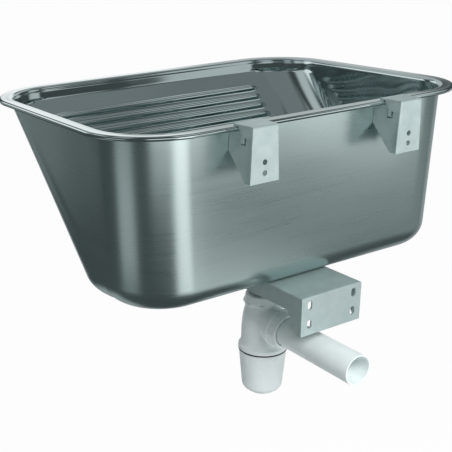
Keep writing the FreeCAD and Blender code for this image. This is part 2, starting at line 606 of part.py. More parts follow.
def make_inlet_nut():
    bore = INLET_COLLAR_R + RUN_GAP
    foot = SHOULDER + RUN_GAP + LUG_DROP
    ceiling = INLET_TOP + INLET_WASHER_THICK
    top = ceiling + INLET_NUT_LIP
    nut = turned([
        (bore, foot), (INLET_NUT_FOOT_R, foot), (INLET_NUT_FOOT_R, foot + INLET_NUT_BAND),
        (INLET_NUT_TOP_R + INLET_NUT_CHAMFER, top - INLET_NUT_CHAMFER), (INLET_NUT_TOP_R, top), (TAIL_R + RUN_GAP, top),
        (TAIL_R + RUN_GAP, ceiling), (bore, ceiling),
    ])
    lug_top = foot + INLET_NUT_BAND
    rim = ring(INLET_NUT_FOOT_R + LUG_PROUD, bore, foot - LUG_DROP, lug_top)
    bars = []
    for step in range(NUT_LUGS // 2):
        bar = Part.makeBox(4 * INLET_NUT_FOOT_R, LUG_WIDTH, LUG_DROP + INLET_NUT_BAND,
                           V(-2 * INLET_NUT_FOOT_R, -LUG_WIDTH / 2, foot - LUG_DROP))
        bar.rotate(V(0, 0, 0), UP, 360.0 * step / NUT_LUGS)
        bar.translate(AXIS)
        bars.append(bar)
    lugs = [rim.common(bar) for bar in bars]
    return nut.fuse(lugs).removeSplitter()


def make_outlet_washer():
    return ring(SPIGOT_R - RUN_GAP, PIPE_R + RUN_GAP, 0, OUTLET_WASHER_THICK,
                V(0, SPIGOT_FACE, OUTLET_Z), TO_WALL)


def make_outlet_nut():
    bore = SPIGOT_R + RUN_GAP
    ceiling = OUTLET_WASHER_THICK
    tip = ceiling + OUTLET_NUT_LIP
    foot = tip - OUTLET_NUT_LENGTH
    return turned([
        (bore, foot), (OUTLET_NUT_R, foot), (OUTLET_NUT_R, foot + OUTLET_NUT_RING),
        (OUTLET_NUT_GRIP_R, foot + OUTLET_NUT_RING + OUTLET_NUT_CHAMFER),
        (OUTLET_NUT_GRIP_R, tip - OUTLET_NUT_TIP - OUTLET_NUT_TIP_CHAMFER),
        (OUTLET_NUT_TIP_R, tip - OUTLET_NUT_TIP), (OUTLET_NUT_TIP_R, tip), (PIPE_R + RUN_GAP, tip),
        (PIPE_R + RUN_GAP, ceiling), (bore, ceiling),
    ], V(0, SPIGOT_FACE, OUTLET_Z), TO_WALL)


def make_waste_pipe():
    """Pipe whose end is sized down from inside the trap to just past the nut."""
    bore = PIPE_R - PIPE_WALL
    return turned([(bore, PIPE_START), (PIPE_SIZED_R, PIPE_START), (PIPE_SIZED_R, PIPE_STEP), (PIPE_R, PIPE_STEP),
                   (PIPE_R, PIPE_PAST_WALL), (bore, PIPE_PAST_WALL)], V(0, 0, OUTLET_Z), TO_WALL)


def make_cup_seal():
    return ring(BODY_FLANGE_R, SKIRT_R + RUN_GAP, CUP_TOP, SEAL_FACE)


def make_trap_cup():
    bore = SKIRT_R + RUN_GAP
    thread_foot = CUP_TOP - SKIRT_HEIGHT
    chamfer_top = CUP_BOTTOM + CUP_CHAMFER
    return turned([
        (bore, CUP_TOP), (CUP_R, CUP_TOP), (CUP_FOOT_R, chamfer_top), (CUP_FLAT_R, CUP_BOTTOM),
        (0, CUP_BOTTOM), (0, CUP_BOTTOM + CUP_WALL), (CUP_FLAT_R - CUP_EASE, CUP_BOTTOM + CUP_WALL),
        (CUP_FOOT_R - CUP_WALL, chamfer_top + CUP_EASE), (bore - THREAD_RELIEF, thread_foot),
        (bore, thread_foot + THREAD_RELIEF),
    ])


# ---------------------------------------------------------------- assembly
PARTS = {
    "basin": make_basin,
    "upper_bracket_left": lambda: make_upper_bracket(-UPPER_SPACING / 2),
    "upper_bracket_right": lambda: make_upper_bracket(UPPER_SPACING / 2),
    "lower_bracket": make_lower_bracket,
    "strainer_plate": make_strainer_plate,
    "strainer_gasket": make_strainer_gasket,
    "strainer_screw": make_strainer_screw,
    "screw_insert": make_screw_insert,
    "waste_gasket": make_waste_gasket,
    "waste_body": make_waste_body,
    "inlet_washer": make_inlet_washer,
    "inlet_nut": make_inlet_nut,
    "trap_body": make_trap_body,
    "dip_tube": make_dip_tube,
    "dip_tube_seal": make_dip_tube_seal,
    "cup_seal": make_cup_seal,
    "trap_cup": make_trap_cup,
    "outlet_washer": make_outlet_washer,
    "outlet_nut": make_outlet_nut,
    "waste_pipe": make_waste_pipe,
}

os.makedirs("parts", exist_ok=True)
for name, make in PARTS.items():
    shape = make()
    box = shape.BoundBox
    print(f"{name:20s} solids {len(shape.Solids)} valid {shape.isValid()} volume {shape.Volume:10.1f} "
          f"x {box.XMin:.1f} {box.XMax:.1f} y {box.YMin:.1f} {box.YMax:.1f} z {box.ZMin:.1f} {box.ZMax:.1f}")
    shape.exportStep(os.path.join("parts", name + ".step"))
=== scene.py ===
# %% [markdown]
# # Dressing a wall-hung mop sink
# The solids arrive as a fixed frame from CAD. This lesson gives each visible piece its real surface:
# a drawn stainless bowl, folded brackets and a moulded plastic bottle trap. Everything is in metres,
# in the CAD frame: X along the wall, -Y out into the room, Z up, wall plane at Y = 0.

# %% Load the frame
import math

import bmesh
import bpy
import numpy as np
from mathutils import Matrix, Vector


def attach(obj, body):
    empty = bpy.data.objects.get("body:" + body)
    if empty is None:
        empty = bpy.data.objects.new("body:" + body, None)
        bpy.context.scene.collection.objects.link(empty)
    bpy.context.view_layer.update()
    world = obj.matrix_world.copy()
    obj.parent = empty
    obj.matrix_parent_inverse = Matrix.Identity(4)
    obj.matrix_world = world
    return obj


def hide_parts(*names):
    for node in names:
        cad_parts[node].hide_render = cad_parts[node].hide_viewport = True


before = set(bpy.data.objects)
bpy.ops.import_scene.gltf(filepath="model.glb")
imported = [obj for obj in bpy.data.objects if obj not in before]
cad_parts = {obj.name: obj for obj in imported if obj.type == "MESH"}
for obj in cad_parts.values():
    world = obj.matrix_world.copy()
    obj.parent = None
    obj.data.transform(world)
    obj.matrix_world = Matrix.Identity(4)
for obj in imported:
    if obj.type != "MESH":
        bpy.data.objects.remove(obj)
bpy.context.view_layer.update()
MM = 0.001
print("CAD nodes:", len(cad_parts))

# %% [markdown]
# ## Camera
# The photograph looks down at the sink from the wall side. The view was worked out from the rim,
# the bracket corners and the pipe, so the camera gets that place, heading and focal length. The
# lines of sight don't meet the picture in its middle, as in a cropped one, so the lens is shifted.

# %% Camera at the photograph's angle
AZIMUTH, ELEVATION, ROLL = (math.radians(v) for v in (149.56, 22.60, -2.13))
FOCAL_PX, FRAME_PX, SENSOR_MM = 851.05, 452.0, 36.0
CENTRE_PX = (140.45, 284.18)
CAMERA_PLACE = (0.6859, 0.7043, 0.2428)

back = Vector((math.sin(AZIMUTH) * math.cos(ELEVATION), -math.cos(AZIMUTH) * math.cos(ELEVATION),
               math.sin(ELEVATION)))
level_right = (-back).cross(Vector((0, 0, 1))).normalized()
level_up = level_right.cross(-back)
right = level_right * math.cos(ROLL) + level_up * math.sin(ROLL)
up = level_up * math.cos(ROLL) - level_right * math.sin(ROLL)
camera_data = bpy.data.cameras.new("camera")
camera_data.sensor_width = SENSOR_MM
camera_data.lens = FOCAL_PX / FRAME_PX * SENSOR_MM
camera_data.shift_x = (FRAME_PX / 2 - CENTRE_PX[0]) / FRAME_PX
camera_data.shift_y = (CENTRE_PX[1] - FRAME_PX / 2) / FRAME_PX
camera = bpy.data.objects.new("camera", camera_data)
camera.matrix_world = (Matrix.Translation(CAMERA_PLACE)
                       @ Matrix((right, up, back)).transposed().to_4x4())
bpy.context.scene.collection.objects.link(camera)
bpy.context.scene.camera = camera
bpy.context.scene.view_settings.view_transform = "Standard"
print("lens", round(camera_data.lens, 2), "shift", round(camera_data.shift_x, 3), round(camera_data.shift_y, 3))

# %% [markdown]
# ## Surfaces from grids
# Every new piece is a grid of points computed with numpy: one index runs around the piece, the other
# along its profile. The grid closes on itself in the directions that the real surface closes in.

# %% Grid to mesh
def grid_mesh(name, points, close_u=True, close_v=True):
    """Mesh of quads from points[v, u]; each row joins the next one, and the last the first where closed."""
    rows, columns = points.shape[:2]
    v = np.arange(rows if close_v else rows - 1)[:, None]
    u = np.arange(columns if close_u else columns - 1)[None, :]
    v2, u2 = (v + 1) % rows, (u + 1) % columns
    quads = np.stack([v * columns + u, v * columns + u2, v2 * columns + u2, v2 * columns + u], -1)
    mesh = bpy.data.meshes.new(name)
    mesh.from_pydata(points.reshape(-1, 3).tolist(), [], quads.reshape(-1, 4).tolist())
    mesh.polygons.foreach_set("use_smooth", np.ones(len(mesh.polygons), bool))
    mesh.update()
    return mesh


def add_piece(name, mesh, body, stands_for, slot, *materials):
    """Object at the origin that rides on a body and stands for the CAD nodes named."""
    piece = bpy.data.objects.new(name, mesh)
    bpy.context.scene.collection.objects.link(piece)
    for material in materials:
        mesh.materials.append(material)
    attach(piece, body)
    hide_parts(*stands_for)
    print(name, len(mesh.vertices), "vertices")
    return piece


def volume_sign(points):
    """Signed volume of a closed grid by the divergence theorem; positive when its faces point outwards."""
    a, b = points, np.roll(points, -1, 1)
    c, d = np.roll(b, -1, 0), np.roll(points, -1, 0)
    return float((np.einsum("vui,vui->", a, np.cross(b, c)) + np.einsum("vui,vui->", a, np.cross(c, d))) / 6)


def closed_grid(name, points, finish=None):
    """Closed shell from a grid, turned so that its faces point outwards; finish picks each row's material slot."""
    if volume_sign(points) < 0:
        points = points[::-1]
        finish = None if finish is None else np.roll(finish[::-1], -1)
    mesh = grid_mesh(name, points)
    if finish is not None:
        mesh.polygons.foreach_set("material_index", np.repeat(finish, points.shape[1]).astype(np.int32))
    return mesh

# %% [markdown]
# ## Materials
# One function turns a hex colour into linear values, and one adds a node with its settings and links.

# %% Helpers for colours and nodes
def linear(code):
    """sRGB hex such as 8FA3A0 to linear RGBA."""
    values = [int(code[k:k + 2], 16) / 255 for k in (0, 2, 4)]
    return tuple(v / 12.92 if v <= 0.04045 else ((v + 0.055) / 1.055) ** 2.4 for v in values) + (1.0,)


def add_node(tree, kind, settings=None, values=None, links=None):
    """Node of the given kind; values fill sockets, links join them to other nodes' outputs."""
    node = tree.nodes.new(kind)
    for key, value in (settings or {}).items():
        setattr(node, key, value)
    for key, value in (values or {}).items():
        node.inputs[key].default_value = value
    for key, output in (links or {}).items():
        tree.links.new(output, node.inputs[key])
    return node


def new_material(name, values):
    """Material with one Principled shader whose sockets get the given values."""
    material = bpy.data.materials.new(name)
    material.use_nodes = True
    shader = material.node_tree.nodes["Principled BSDF"]
    for key, value in values.items():
        shader.inputs[key].default_value = value
    return material, material.node_tree, shader

# %% Stainless steel, polished inside and brushed outside
GRAIN_DEPTH = 0.1 * MM
WAVE_LENGTH = 60 * MM


def streak_noise(tree, across, along, detail=4.0):
    """Noise drawn out level along X and Y: brush lines spaced by 1/across metres, as long as 1/along."""
    place = add_node(tree, "ShaderNodeTexCoord")
    stretch = add_node(tree, "ShaderNodeMapping", values={"Scale": (along, along, across)},
                       links={"Vector": place.outputs["Object"]})
    return add_node(tree, "ShaderNodeTexNoise", values={"Scale": 1.0, "Detail": detail, "Roughness": 0.6},
                    links={"Vector": stretch.outputs["Vector"]})


def ramp(tree, factor, stops):
    """Colour ramp through (place, hex colour) pairs."""
    node = add_node(tree, "ShaderNodeValToRGB", links={"Fac": factor})
    elements = node.color_ramp.elements
    while len(elements) < len(stops):
        elements.new(0.5)
    for element, (place, code) in zip(elements, stops):
        element.position = place
        element.color = linear(code)
    return node


def spread(tree, value, low, high):
    """Maps noise from its usual 0.3 to 0.7 onto low to high."""
    return add_node(tree, "ShaderNodeMapRange", values={"From Min": 0.3, "From Max": 0.7, "To Min": low,
                                                        "To Max": high}, links={"Value": value})


def relief(tree, shader, height, strength, depth, over=None):
    """Bump of the given depth in metres into the shader's normal, on top of another bump where one is given."""
    links = {"Height": height, **({"Normal": over.outputs["Normal"]} if over else {})}
    bump = add_node(tree, "ShaderNodeBump", values={"Strength": strength, "Distance": depth}, links=links)
    tree.links.new(bump.outputs["Normal"], shader.inputs["Normal"])
    return bump


def stainless(name, light, dark, rough_low, rough_high, line_spacing, bump, drawn=0.0, wave=0.0):
    """Cold-rolled stainless: colour, roughness and a faint bump follow the level lines of its finish.

    The fine lines are about 110 mm long; broad bands 22 mm apart lie under them. A drawn sheet is
    never quite flat: wave is the depth of its slow waves in metres. drawn is the anisotropy."""
    material, tree, shader = new_material(name, {"Metallic": 1.0, "Anisotropic": drawn, "Anisotropic Rotation": 0.25})
    fine = streak_noise(tree, across=1 / line_spacing, along=9.0)
    broad = streak_noise(tree, across=45.0, along=5.0, detail=2.0)
    both = add_node(tree, "ShaderNodeMix", {"data_type": "FLOAT"}, {"Factor": 0.4},
                    {"A": fine.outputs["Fac"], "B": broad.outputs["Fac"]})
    level = both.outputs["Result"]
    colour = ramp(tree, level, [(0.3, dark), (0.7, light)])
    tree.links.new(colour.outputs["Color"], shader.inputs["Base Color"])
    rough = spread(tree, level, rough_low, rough_high)
    tree.links.new(rough.outputs["Result"], shader.inputs["Roughness"])
    place = add_node(tree, "ShaderNodeTexCoord")
    slow = add_node(tree, "ShaderNodeTexNoise", values={"Scale": 1 / WAVE_LENGTH, "Detail": 0.0},
                    links={"Vector": place.outputs["Object"]})
    waves = relief(tree, shader, slow.outputs["Fac"], 1.0, wave)
    relief(tree, shader, fine.outputs["Fac"], bump, GRAIN_DEPTH, waves)
    return material


# Grit 180 leaves lines about 0.1 mm apart; they are drawn 0.8 mm apart so that the render shows them.
brushed_steel = stainless("brushed_stainless_outside", "C5D6D5", "BED0CF", 0.26, 0.31, 0.8 * MM, 0.018,
                          drawn=0.2, wave=0.6 * MM)
# The press tool leaves the inside almost bright, so it mirrors its own walls and ribs.
polished_steel = stainless("polished_stainless_inside", "C9D6D7", "C3D1D2", 0.06, 0.1, 2.5 * MM, 0.01,
                           wave=1.2 * MM)

# %% [markdown]
# ## The bowl
# A press draws the bowl from one sheet, so outside and inside are the same shape a sheet apart. The
# surface is a closed grid: columns run around the rim, rows run from the turned-down lip over the
# flange and down the inner wall to the drain, then back up the outer skin to the lip.

# %% Sizes of the bowl
SHEET = 1.2 * MM
RIM_HALF, RIM_BACK, RIM_FRONT, RIM_R = 270 * MM, -24 * MM, -424 * MM, 92 * MM
FLANGE = 17 * MM
RIM_TOP, CREASE = 44 * MM, 26 * MM
FLOOR_UNDER = -172 * MM
SIDE_DRAFT, BACK_DRAFT, FRONT_LEAN = 5 * MM, 2 * MM, 4 * MM
MOUTH_ROWS = np.array([38, 36, 33, 30, 27.5]) * MM
WASH_RUN = 196 * MM
WASH_DROP = CREASE - FLOOR_UNDER
WASH_R, FLOOR_R = 58 * MM, 30 * MM
SLOPE = WASH_RUN / WASH_DROP
LENGTH = math.hypot(WASH_RUN, WASH_DROP)
DRAIN_Y = -131 * MM
DRAIN = np.array([0.0, DRAIN_Y])

# %% Columns around the bowl
STRAIGHT_FRONT = np.array([-1, -.985, -.97, -.955, -.94, -.925, -.91, -.89, -.86, -.8, -.6, -.3, 0, .3, .6, .8,
                           .86, .89, .91, .925, .94, .955, .97, .985])
CORNER = np.linspace(0, 1, 25)[:-1]
SIDE = np.linspace(0, 1, 9)[:-1]
BACK = np.linspace(0, 1, 17)[:-1]


def mirrored(part, end):
    """The same stretch of the ring on its left: x changes sign, and the order runs back from its far end."""
    return np.concatenate([part, [end]])[::-1][:-1] * np.array([-1.0, 1.0])


def ring(half, back_y, front_y, back_r, front_rx, front_ry):
    """Rounded rectangle, counter-clockwise from above, starting at the left end of the front side.

    A corner is a quarter of an ellipse: centre plus (rx cos t, ry sin t). The same columns are used
    at every height, so rows of different size still join column to column."""
    front = np.stack([STRAIGHT_FRONT * (half - front_rx), np.full(len(STRAIGHT_FRONT), front_y)], -1)
    t = (CORNER - 1) * math.pi / 2
    near = np.stack([half - front_rx + front_rx * np.cos(t), front_y + front_ry + front_ry * np.sin(t)], -1)
    side = np.stack([np.full(len(SIDE), half), front_y + front_ry
                     + SIDE * (back_y - back_r - front_y - front_ry)], -1)
    t = CORNER * math.pi / 2
    far = np.stack([half - back_r + back_r * np.cos(t), back_y - back_r + back_r * np.sin(t)], -1)
    rear = np.stack([(half - back_r) * (1 - 2 * BACK), np.full(len(BACK), back_y)], -1)
    return np.concatenate([front, near, side, far, rear, mirrored(far, (half - back_r, back_y)),
                           mirrored(side, (half, back_y - back_r)), mirrored(near, (half, front_y + front_ry))])


def at_height(loop, z):
    """Level loop of (x, y) as points at height z."""
    return np.concatenate([loop, np.full((len(loop), 1), z)], -1)


def rim_row(inset, z):
    """Row of the rim that lies inset inside its outer edge."""
    radius = RIM_R - inset
    return at_height(ring(RIM_HALF - inset, RIM_BACK - inset, RIM_FRONT + inset, radius, radius, radius), z)

# %% Walls, washboard and floor of one skin
RIB_COUNT, RIB_PITCH, RIB_FIRST = 11, 16.6 * MM, 31 * MM
RIB_HALF, RIB_WIDTH, RIB_HEIGHT, RIB_EASE = 172 * MM, 9.4 * MM, 3.6 * MM, 0.6 * MM
# Rows stop this far before the end of the slope, and the floor's fillet takes up this much of it.
ROWS_STOP, FILLET_REACH = 18 * MM, 12.3 * MM
# Rows are dense over each rib, with one in the valley behind it.
ACROSS_RIB = np.array([-5.4, -4.7, -4.0, -3.0, -1.6, 0.0, 1.6, 3.0, 4.0, 4.7, 5.4, 8.3]) * MM
along_rows = (RIB_FIRST + RIB_PITCH * np.arange(RIB_COUNT)[:, None] + ACROSS_RIB).ravel()
along_rows = np.concatenate([[4 * MM, 12 * MM, 22 * MM], along_rows])


def rib_height(x, along):
    """Round-topped rib with round ends: (1 - s^2)^1.5 (1 + s^2 / 2) of its height.

    s is the distance to the rib's centre line as a share of its half width, easing included."""
    nearest = np.clip(np.round((along - RIB_FIRST) / RIB_PITCH), 0, RIB_COUNT - 1)
    off = np.hypot(along - RIB_FIRST - nearest * RIB_PITCH, np.maximum(np.abs(x) - RIB_HALF, 0))
    share = np.clip(off / (RIB_WIDTH / 2 + RIB_EASE), 0, 1)
    return RIB_HEIGHT * (1 - share ** 2) ** 1.5 * (1 + 0.5 * share ** 2)


def ring_normals(front_rx, front_ry):
    """Level unit normals of a ring's columns, pointing in. An ellipse's is (-cos t / rx, -sin t / ry) made unit."""
    t = (CORNER - 1) * math.pi / 2
    near = np.stack([-np.cos(t) / front_rx, -np.sin(t) / front_ry], -1)
    t = CORNER * math.pi / 2
    far = np.stack([-np.cos(t), -np.sin(t)], -1)
    front, side, rear = (np.tile(way, (len(part), 1)) for way, part in
                         (((0.0, 1.0), STRAIGHT_FRONT), ((-1.0, 0.0), SIDE), ((0.0, -1.0), BACK)))
    normals = np.concatenate([front, near, side, far, rear, mirrored(far, (0.0, -1.0)),
                              mirrored(side, (-1.0, 0.0)), mirrored(near, (-1.0, 0.0))])
    return normals / np.linalg.norm(normals, axis=1)[:, None]


def skin_rows(inset, floor):
    """Rows from just under the mouth to the floor's flat part, for the skin that lies inset inside."""
    def bowl_loop(z, front, corner_x, corner_y):
        share = (RIM_TOP - z) / (RIM_TOP - FLOOR_UNDER)
        half = RIM_HALF - FLANGE - SIDE_DRAFT * share - inset
        return ring(half, RIM_BACK - FLANGE - BACK_DRAFT * share - inset, front, RIM_R - FLANGE - inset,
                    corner_x, corner_y)

    upright = RIM_R - FLANGE - inset
    wash_x = WASH_R - inset
    wash_y = wash_x * math.hypot(SLOPE, 1)
    front_top = RIM_FRONT + FLANGE
    rows = []
    for z in MOUTH_ROWS:
        lean = FRONT_LEAN * (RIM_TOP - z) / (RIM_TOP - CREASE)
        rows.append(at_height(bowl_loop(z, front_top + lean + inset, upright, upright), z))
    front_crease = front_top + FRONT_LEAN + inset * math.hypot(SLOPE, 1)
    top = at_height(bowl_loop(CREASE, front_crease, wash_x, wash_y), CREASE)
    foot_loop = bowl_loop(floor, front_crease + SLOPE * (CREASE - floor), wash_x, wash_y)
    normal = ring_normals(wash_x, wash_y)
    # The wall leans by its full slope at the front and stands upright at the sides and the back.
    lean = np.arctan(SLOPE * np.clip(normal[:, 1], 0, 1))
    wall = np.concatenate([-np.sin(lean)[:, None] * normal, np.cos(lean)[:, None]], -1)
    radius = FLOOR_R - inset
    reach = radius * np.tan((math.pi / 2 - lean) / 2)
    foot = at_height(foot_loop, floor)
    start = foot + wall * reach[:, None]
    along = along_rows[along_rows < LENGTH - ROWS_STOP]
    share = (along / (LENGTH - FILLET_REACH))[:, None, None]
    body = top + (start - top) * share
    press = rib_height(body[..., 0], along[:, None] * np.ones(body.shape[1]))
    # Ribs are pressed only where the wall faces the back to within about 5 degrees.
    facing = np.clip((normal[:, 1] - 0.995) / 0.004, 0, 1)
    body = body + (press * facing)[..., None] * np.array([0.0, WASH_DROP, WASH_RUN]) / LENGTH
    rows += [top, *body]
    flat = np.concatenate([normal, np.zeros((len(normal), 1))], -1)
    centre = foot + flat * reach[:, None] + np.array([0, 0, radius])
    turn = (math.pi / 2 - lean)[:, None]
    for step in np.linspace(0, 1, 11):
        angle = turn * (1 - step)
        rows.append(centre + radius * (-np.sin(angle) * flat - np.cos(angle) * np.array([0, 0, 1])))
    return rows

# %% The whole shell of the bowl
def drain_rows(last, steps):
    """Rows from a floor loop to circles about the drain: (radius, height) per row."""
    offset = last[:, :2] - DRAIN
    unit = offset / np.linalg.norm(offset, axis=1)[:, None]
    return [at_height(DRAIN + unit * radius, z) for radius, z in steps]


def arc(centre, radius, start, stop, steps):
    """Points of a circle in the (inset, height) plane of the rim's profile."""
    t = np.radians(np.linspace(start, stop, steps))
    return np.stack([centre[0] + radius * np.cos(t), centre[1] + radius * np.sin(t)], -1)


inner = skin_rows(SHEET, FLOOR_UNDER + SHEET)
outer = skin_rows(0.0, FLOOR_UNDER)
# The rim over and under the sheet, as (inset from its outer edge, height) in mm.
over = np.concatenate([[[0, 39.0]], arc((2.6, 41.4), 2.6, 180, 90, 7), [[4.0, 43.9], [8.0, 43.7], [12.0, 43.9]],
                       arc((13.2, 39.0), 5.0, 90, 0, 9)]) * MM
under = np.concatenate([[[1.2, 39.0]], arc((2.6, 41.4), 1.4, 180, 90, 5), [[8.0, 42.6]],
                        arc((13.2, 39.0), 3.8, 90, 0, 7)]) * MM
# The pressed recess of the drain above and below the sheet, as (radius, height).
recess = [(46 * MM, -170.8 * MM), (44 * MM, -170.9 * MM), (42.5 * MM, -173 * MM), (41 * MM, -175.5 * MM),
          (40 * MM, -175.8 * MM), (34 * MM, -175.8 * MM), (30.2 * MM, -175.8 * MM), (30 * MM, -176.0 * MM)]
below = [(46 * MM, -172.0 * MM), (45 * MM, -172.1 * MM), (42.2 * MM, -176.8 * MM), (41.5 * MM, -177 * MM),
         (30.2 * MM, -177 * MM), (30 * MM, -176.8 * MM)]
rows = [rim_row(a, b) for a, b in over] + inner + drain_rows(inner[-1], recess)
rows += ([rim_row(a, b) for a, b in under] + outer + drain_rows(outer[-1], below))[::-1]
bowl_points = np.stack(rows)
# Slot 0, polished, for the rows of the upper side, and slot 1, brushed, for those of the lower side.
finish = np.where(np.arange(len(rows)) < len(over) + len(inner) + len(recess) - 1, 0, 1)
add_piece("drawn_bowl", closed_grid("drawn_bowl", bowl_points, finish), "sink", ["basin"], "stainless_bowl",
          polished_steel, brushed_steel)

# %% [markdown]
# ## Turned plastic pieces
# The trap, its cup, nuts and pipe come out of moulds that are round about one axis. Each one could be
# a cylinder with edge loops, but a profile turned about its axis needs only a short list of (radius,
# height) corners. Moulded plastic has no sharp edge anywhere, so every corner is eased first.

# %% Eased profiles and turned shells
def eased(corners, cuts, steps=5):
    """Closed profile whose corners become parabolas: (1-t)^2 A + 2t(1-t) corner + t^2 B, A and B a cut away."""
    corners = np.asarray(corners, float)
    cuts = np.asarray(cuts, float)[:, None]
    to_last, to_next = np.roll(corners, 1, 0) - corners, np.roll(corners, -1, 0) - corners
    start = corners + to_last / np.linalg.norm(to_last, axis=1)[:, None] * cuts
    end = corners + to_next / np.linalg.norm(to_next, axis=1)[:, None] * cuts
    t = np.linspace(0, 1, steps)[None, :, None]
    curve = (1 - t) ** 2 * start[:, None] + 2 * t * (1 - t) * corners[:, None] + t ** 2 * end[:, None]
    return curve.reshape(-1, 2) * MM


# Rows say where a turned piece's two radial directions and its axis point.
AXES = {"up": np.array([[1, 0, 0], [0, 1, 0], [0, 0, 1]]), "wall": np.array([[1, 0, 0], [0, 0, -1], [0, 1, 0]])}


def turned(profile, base, facing="up", columns=96, swell=None):
    """Grid of points: profile (radius, height) carried round its axis; swell(angle, height) adds to the radius."""
    angle = np.linspace(0, 2 * math.pi, columns, endpoint=False)[None, :]
    radius, height = profile[:, :1], profile[:, 1:]
    radius = radius + (swell(angle, height) if swell else 0)
    points = np.stack([radius * np.cos(angle), radius * np.sin(angle), height + 0 * angle], -1)
    return points @ AXES[facing] + np.asarray(base)


def merged(mesh):
    """Merges points that lie together, such as the many at a pole, so that the shell is closed."""
    work = bmesh.new()
    work.from_mesh(mesh)
    bmesh.ops.remove_doubles(work, verts=work.verts, dist=1e-6)
    work.to_mesh(mesh)
    work.free()
    return mesh


BRANCH_Z = -260.5 * MM
TRAP = [0.0, DRAIN_Y, 0.0]
BRANCH = [0.0, DRAIN_Y, BRANCH_Z]

# %% Moulded plastics and rubber
def moulded(name, light, dark, rough, grain, bump, values=None):
    """Injection-moulded plastic: a fine mould grain in the bump, and a slow change of tone and gloss."""
    material, tree, shader = new_material(name, {"Roughness": rough, **(values or {})})
    place = add_node(tree, "ShaderNodeTexCoord")
    slow = add_node(tree, "ShaderNodeTexNoise", values={"Scale": 40.0, "Detail": 2.0},
                    links={"Vector": place.outputs["Object"]})
    tone = ramp(tree, slow.outputs["Fac"], [(0.3, dark), (0.7, light)])
    tree.links.new(tone.outputs["Color"], shader.inputs["Base Color"])
    gloss = spread(tree, slow.outputs["Fac"], rough + 0.05, rough - 0.05)
    tree.links.new(gloss.outputs["Result"], shader.inputs["Roughness"])
    fine = add_node(tree, "ShaderNodeTexNoise", values={"Scale": 1 / grain, "Detail": 3.0},
                    links={"Vector": place.outputs["Object"]})
    relief(tree, shader, fine.outputs["Fac"], bump, GRAIN_DEPTH)
    return material


# Polypropylene, moulded: white, waxy and a little see-through at its edges.
white_plastic = moulded("moulded_white_polypropylene", "F2FAFA", "EAF3F3", 0.32, 0.8 * MM, 0.05,
                        {"IOR": 1.49, "Subsurface Weight": 0.08, "Subsurface Scale": 2 * MM,
                         "Subsurface Radius": (1, 1, 1)})
# The same plastic darkened to grey as painted shade, for the waste that lies in the bowl's shadow.
shade_grey_plastic = moulded("moulded_polypropylene_painted_shade", "A9B3B3", "9CA7A7", 0.4, 0.8 * MM, 0.08, {"IOR": 1.49})
# EPDM rubber: deep matt black with a dusty bloom.
black_rubber = moulded("epdm_rubber", "1B1D1D", "131414", 0.7, 0.5 * MM, 0.15, {"IOR": 1.52})

# %% [markdown]
# ## Cup, seal and body of the bottle trap
# The cup screws on from below against a black ring. It is a tapered pot with a rounded foot, open at
# the top, so its profile runs down the outside, across the floor and up inside. Every profile lists
# its corners as (radius, height) in mm, and after them how far each corner is cut back.

# %% Cup and seal
cup_profile = eased([(29.9, -303.5), (33.0, -303.5), (32.85, -306.5), (28.0, -361.5), (17.6, -369.5), (0.01, -369.5),
                     (0.01, -366.9), (16.6, -366.9), (25.4, -360.5), (28.5, -317.5), (29.9, -316.1)],
                    [0.8, 0.8, 1.0, 5.0, 3.0, 0.0, 0.0, 2.0, 3.0, 0.5, 0.5])
add_piece("cup_shell", merged(closed_grid("cup_shell", turned(cup_profile, TRAP))), "cup", ["trap_cup"],
          "white_plastic", white_plastic)
seal_profile = eased([(29.9, -303.5), (33.9, -303.5), (33.9, -301.5), (29.9, -301.5)], [0.5] * 4)
add_piece("cup_ring", closed_grid("cup_ring", turned(seal_profile, TRAP)), "cup_seal", ["cup_seal"],
          "black_rubber", black_rubber)

# %% Body of the trap
body_profile = eased([(20.3, -224.5), (23.2, -224.5), (23.2, -234.5), (24.2, -235.2), (28.1, -250.0), (29.9, -268.0),
                      (30.0, -283.0), (30.6, -292.5), (34.0, -296.4), (34.0, -301.5), (29.6, -301.5), (29.6, -315.5),
                      (27.0, -315.5), (27.0, -303.0), (27.4, -280.0), (25.6, -252.0), (21.2, -245.4), (17.9, -245.4),
                      (17.9, -242.4), (20.3, -242.4)],
                     [0.6, 0.8, 0.3, 0.7, 8.0, 8.0, 4.0, 2.6, 1.6, 0.7, 0.5, 0.5, 0.5, 2.0, 5.0, 3.0, 1.0, 0.4, 0.4,
                      0.4])
body_mesh = closed_grid("trap_shell", turned(body_profile, TRAP))

# %% [markdown]
# The branch grows out of the body with a soft moulded cove. Its surface starts on the body at a wide
# loop and turns through a quarter circle into the tube; inside, a hole goes through the body's wall.

# %% Branch with its cove
COVE, BRANCH_R, CHAMBER_HOLE = 4.2 * MM, 23.6 * MM, 22.0 * MM
# The tube's rim and its socket, as (radius, reach) in mm.
TUBE = [(23.6, 42.0), (23.6, 45.4), (23.4, 45.9), (22.9, 46.0), (20.2, 46.0), (19.8, 45.8), (19.7, 45.3),
        (19.7, 28.2), (19.7, 27.6), (17.5, 27.6), (17.5, 24.0)]


def body_reach(x, z):
    """How far out the body's skin lies at (x, z): sqrt(R(z)^2 - x^2), R read from the body's own profile."""
    # The skin between the neck and the ring above the cup.
    skin = body_profile[body_profile[:, 0] > 23.5 * MM]
    skin = skin[skin[:, 1] > -297 * MM]
    radius = np.interp(-z, -skin[:, 1], skin[:, 0])
    return np.sqrt(np.maximum(radius ** 2 - x ** 2, 1e-8))


